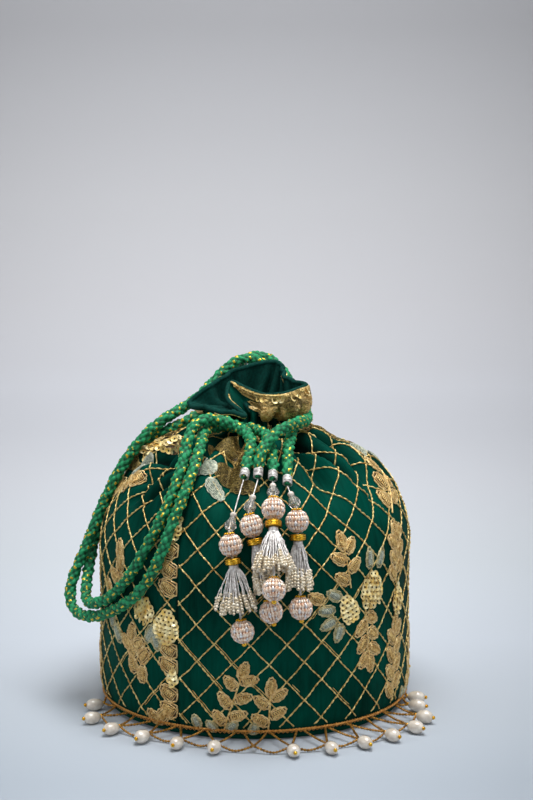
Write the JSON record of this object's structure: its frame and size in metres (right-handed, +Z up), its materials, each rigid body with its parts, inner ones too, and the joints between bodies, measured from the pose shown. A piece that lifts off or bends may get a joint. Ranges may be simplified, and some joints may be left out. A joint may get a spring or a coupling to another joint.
{
  "type": "drawstring pouch",
  "caption": "Round gathered cloth pouch with a frilled neck, doubled cord handle, beaded tassels and a pearl lace hem.",
  "frame": {"origin": "middle of the base's underside, on the table", "axes": "+Z up along the bag's axis, -Y to the front where the tassels hang, +X to the right seen from the front"},
  "size_m": [0.179, 0.1887, 0.1685],
  "materials": {
    "green_silk": "plain-weave silk blend with a low sheen",
    "lining": "matt plain weave",
    "base_cloth": "cloth glued over card",
    "gold_braid": "metallic thread",
    "green_cord": "crocheted thread with gold flecks",
    "pearl": "pearl lustre",
    "silver_thread": "metallic thread",
    "crystal": "clear moulded",
    "beaded_ball": "covered in rows of seed beads",
    "gold_metal": "bright gold colour"
  },
  "bodies": {
    "bag": {"outer_bag": "green_silk", "lining": "lining", "base_disc": "base_cloth", "lace_braid": "gold_braid", "drawcord_a": "green_cord", "drawcord_b": "green_cord", "pearl_drop_01": "pearl", "pearl_drop_02": "pearl", "pearl_drop_03": "pearl", "pearl_drop_04": "pearl", "pearl_drop_05": "pearl", "pearl_drop_06": "pearl", "pearl_drop_07": "pearl", "pearl_drop_08": "pearl", "pearl_drop_12": "pearl", "pearl_drop_13": "pearl", "pearl_drop_14": "pearl", "pearl_drop_15": "pearl", "pearl_drop_16": "pearl", "pearl_drop_17": "pearl", "pearl_drop_18": "pearl", "pearl_drop_19": "pearl", "pearl_drop_20": "pearl", "pearl_drop_21": "pearl", "pearl_drop_22": "pearl", "pearl_drop_23": "pearl", "pearl_drop_24": "pearl", "pearl_drop_28": "pearl", "pearl_drop_29": "pearl", "pearl_drop_30": "pearl", "pearl_drop_31": "pearl", "pearl_drop_32": "pearl", "pearl_drop_33": "pearl"},
    "tassel_left": {"tassel_left_threads": "silver_thread", "tassel_left_crystal": "crystal", "tassel_left_ball": "beaded_ball", "tassel_left_ring": "gold_metal", "tassel_left_drop": "beaded_ball"},
    "tassel_back": {"tassel_back_threads": "silver_thread", "tassel_back_crystal": "crystal", "tassel_back_ball": "beaded_ball", "tassel_back_ring": "gold_metal", "tassel_back_drop": "beaded_ball"},
    "tassel_front": {"tassel_front_threads": "silver_thread", "tassel_front_crystal": "crystal", "tassel_front_ball": "beaded_ball", "tassel_front_ring": "gold_metal", "tassel_front_drop": "beaded_ball"},
    "tassel_right": {"tassel_right_threads": "silver_thread", "tassel_right_crystal": "crystal", "tassel_right_ball": "beaded_ball", "tassel_right_ring": "gold_metal", "tassel_right_drop": "beaded_ball"}
  },
  "joints": [
    {"name": "tassel_left_swing", "type": "hinge", "parent": "bag", "child": "tassel_left", "pos_m": [-0.0048, -0.0607, 0.1207], "axis": [-1, 0, 0], "range_deg": [0, 50]},
    {"name": "tassel_back_swing", "type": "hinge", "parent": "bag", "child": "tassel_back", "pos_m": [0.0019, -0.061, 0.1204], "axis": [-1, 0, 0], "range_deg": [0, 45]},
    {"name": "tassel_front_swing", "type": "hinge", "parent": "tassel_back", "child": "tassel_front", "pos_m": [0.0088, -0.061, 0.1204], "axis": [-1, 0, 0], "range_deg": [0, 30]},
    {"name": "tassel_right_swing", "type": "hinge", "parent": "bag", "child": "tassel_right", "pos_m": [0.0156, -0.0622, 0.1178], "axis": [-1, 0, 0], "range_deg": [0, 50]}
  ]
}
